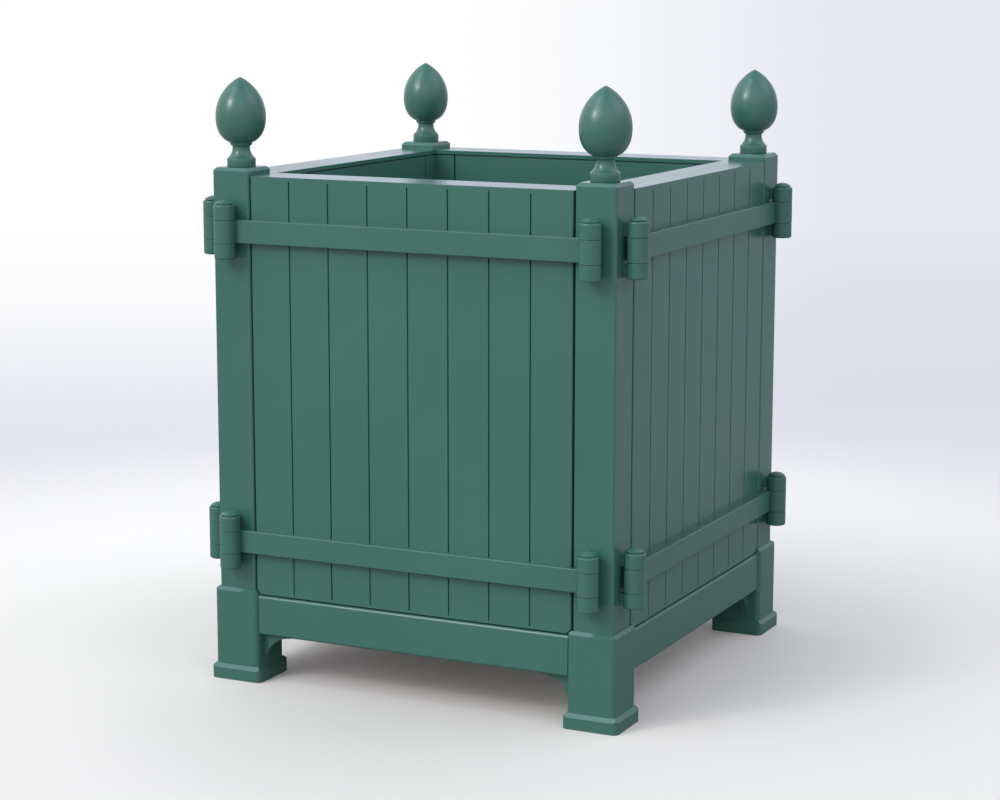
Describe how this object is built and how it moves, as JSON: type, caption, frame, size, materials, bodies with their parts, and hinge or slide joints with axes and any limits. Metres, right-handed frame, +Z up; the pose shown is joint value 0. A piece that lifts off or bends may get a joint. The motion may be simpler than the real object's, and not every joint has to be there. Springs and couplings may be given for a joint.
{
  "type": "versailles planter",
  "caption": "Square painted planter box on shoed corner posts with acorn finials, grooved side panels hinged by iron straps and lift-out pins, and a lined planting space.",
  "frame": {"origin": "on the ground, under the middle of the planter", "axes": "+Z up, -Y out of the front side, +X out of the right side seen from the front"},
  "size_m": [0.6642, 0.6642, 0.8395],
  "materials": {
    "painted_timber": "satin green paint",
    "painted_iron": "satin green paint",
    "painted_lining": "satin green paint",
    "bare_timber": "planed"
  },
  "bodies": {
    "frame": {"post_front_left": "painted_timber", "post_front_right": "painted_timber", "post_rear_right": "painted_timber", "post_rear_left": "painted_timber", "shoe_front_left": "painted_iron", "shoe_front_right": "painted_iron", "shoe_rear_right": "painted_iron", "shoe_rear_left": "painted_iron", "finial_front_left": "painted_timber", "finial_front_right": "painted_timber", "finial_rear_right": "painted_timber", "finial_rear_left": "painted_timber", "hinge_eyes_front_left": "painted_iron", "hinge_eyes_front_right": "painted_iron", "hinge_eyes_rear_right": "painted_iron", "hinge_eyes_rear_left": "painted_iron", "bottom_rail_front": "painted_timber", "bottom_rail_right": "painted_timber", "bottom_rail_rear": "painted_timber", "bottom_rail_left": "painted_timber", "rail_brackets": "painted_iron", "lining_angles": "painted_lining", "floor_bearers": "bare_timber", "floor_boards": "bare_timber", "lining_wall_front": "painted_lining", "lining_wall_right": "painted_lining", "lining_wall_rear": "painted_lining", "lining_wall_left": "painted_lining", "rim_strip_front": "painted_timber", "rim_strip_right": "painted_timber", "rim_strip_rear": "painted_timber", "rim_strip_left": "painted_timber"},
    "panel_front": {"panel_board_front": "painted_timber", "upper_strap_front": "painted_iron", "lower_strap_front": "painted_iron"},
    "panel_right": {"panel_board_right": "painted_timber", "upper_strap_right": "painted_iron", "lower_strap_right": "painted_iron"},
    "panel_rear": {"panel_board_rear": "painted_timber", "upper_strap_rear": "painted_iron", "lower_strap_rear": "painted_iron"},
    "panel_left": {"panel_board_left": "painted_timber", "upper_strap_left": "painted_iron", "lower_strap_left": "painted_iron"},
    "front_upper_left_pin": {"pin_front_upper_left": "painted_iron"},
    "front_upper_right_pin": {"pin_front_upper_right": "painted_iron"},
    "front_lower_left_pin": {"pin_front_lower_left": "painted_iron"},
    "front_lower_right_pin": {"pin_front_lower_right": "painted_iron"},
    "right_upper_left_pin": {"pin_right_upper_left": "painted_iron"},
    "right_upper_right_pin": {"pin_right_upper_right": "painted_iron"},
    "right_lower_left_pin": {"pin_right_lower_left": "painted_iron"},
    "right_lower_right_pin": {"pin_right_lower_right": "painted_iron"},
    "rear_upper_left_pin": {"pin_rear_upper_left": "painted_iron"},
    "rear_upper_right_pin": {"pin_rear_upper_right": "painted_iron"},
    "rear_lower_left_pin": {"pin_rear_lower_left": "painted_iron"},
    "rear_lower_right_pin": {"pin_rear_lower_right": "painted_iron"},
    "left_upper_left_pin": {"pin_left_upper_left": "painted_iron"},
    "left_upper_right_pin": {"pin_left_upper_right": "painted_iron"},
    "left_lower_left_pin": {"pin_left_lower_left": "painted_iron"},
    "left_lower_right_pin": {"pin_left_lower_right": "painted_iron"}
  },
  "joints": [
    {"name": "panel_front_swing", "type": "hinge", "parent": "frame", "child": "panel_front", "pos_m": [-0.27125, -0.3176, 0.41725], "axis": [0, 0, -1], "range_deg": [0, 180]},
    {"name": "panel_right_swing", "type": "hinge", "parent": "frame", "child": "panel_right", "pos_m": [0.3176, -0.27125, 0.41725], "axis": [0, 0, -1], "range_deg": [0, 180]},
    {"name": "panel_rear_swing", "type": "hinge", "parent": "frame", "child": "panel_rear", "pos_m": [0.27125, 0.3176, 0.41725], "axis": [0, 0, -1], "range_deg": [0, 180]},
    {"name": "panel_left_swing", "type": "hinge", "parent": "frame", "child": "panel_left", "pos_m": [-0.3176, 0.27125, 0.41725], "axis": [0, 0, -1], "range_deg": [0, 180]},
    {"name": "pin_front_upper_left_lift", "type": "slide", "parent": "frame", "child": "front_upper_left_pin", "axis": [0, 0, 1], "range_m": [0, 0.08]},
    {"name": "pin_front_upper_right_lift", "type": "slide", "parent": "frame", "child": "front_upper_right_pin", "axis": [0, 0, 1], "range_m": [0, 0.08]},
    {"name": "pin_front_lower_left_lift", "type": "slide", "parent": "frame", "child": "front_lower_left_pin", "axis": [0, 0, 1], "range_m": [0, 0.08]},
    {"name": "pin_front_lower_right_lift", "type": "slide", "parent": "frame", "child": "front_lower_right_pin", "axis": [0, 0, 1], "range_m": [0, 0.08]},
    {"name": "pin_right_upper_left_lift", "type": "slide", "parent": "frame", "child": "right_upper_left_pin", "axis": [0, 0, 1], "range_m": [0, 0.08]},
    {"name": "pin_right_upper_right_lift", "type": "slide", "parent": "frame", "child": "right_upper_right_pin", "axis": [0, 0, 1], "range_m": [0, 0.08]},
    {"name": "pin_right_lower_left_lift", "type": "slide", "parent": "frame", "child": "right_lower_left_pin", "axis": [0, 0, 1], "range_m": [0, 0.08]},
    {"name": "pin_right_lower_right_lift", "type": "slide", "parent": "frame", "child": "right_lower_right_pin", "axis": [0, 0, 1], "range_m": [0, 0.08]},
    {"name": "pin_rear_upper_left_lift", "type": "slide", "parent": "frame", "child": "rear_upper_left_pin", "axis": [0, 0, 1], "range_m": [0, 0.08]},
    {"name": "pin_rear_upper_right_lift", "type": "slide", "parent": "frame", "child": "rear_upper_right_pin", "axis": [0, 0, 1], "range_m": [0, 0.08]},
    {"name": "pin_rear_lower_left_lift", "type": "slide", "parent": "frame", "child": "rear_lower_left_pin", "axis": [0, 0, 1], "range_m": [0, 0.08]},
    {"name": "pin_rear_lower_right_lift", "type": "slide", "parent": "frame", "child": "rear_lower_right_pin", "axis": [0, 0, 1], "range_m": [0, 0.08]},
    {"name": "pin_left_upper_left_lift", "type": "slide", "parent": "frame", "child": "left_upper_left_pin", "axis": [0, 0, 1], "range_m": [0, 0.08]},
    {"name": "pin_left_upper_right_lift", "type": "slide", "parent": "frame", "child": "left_upper_right_pin", "axis": [0, 0, 1], "range_m": [0, 0.08]},
    {"name": "pin_left_lower_left_lift", "type": "slide", "parent": "frame", "child": "left_lower_left_pin", "axis": [0, 0, 1], "range_m": [0, 0.08]},
    {"name": "pin_left_lower_right_lift", "type": "slide", "parent": "frame", "child": "left_lower_right_pin", "axis": [0, 0, 1], "range_m": [0, 0.08]}
  ]
}
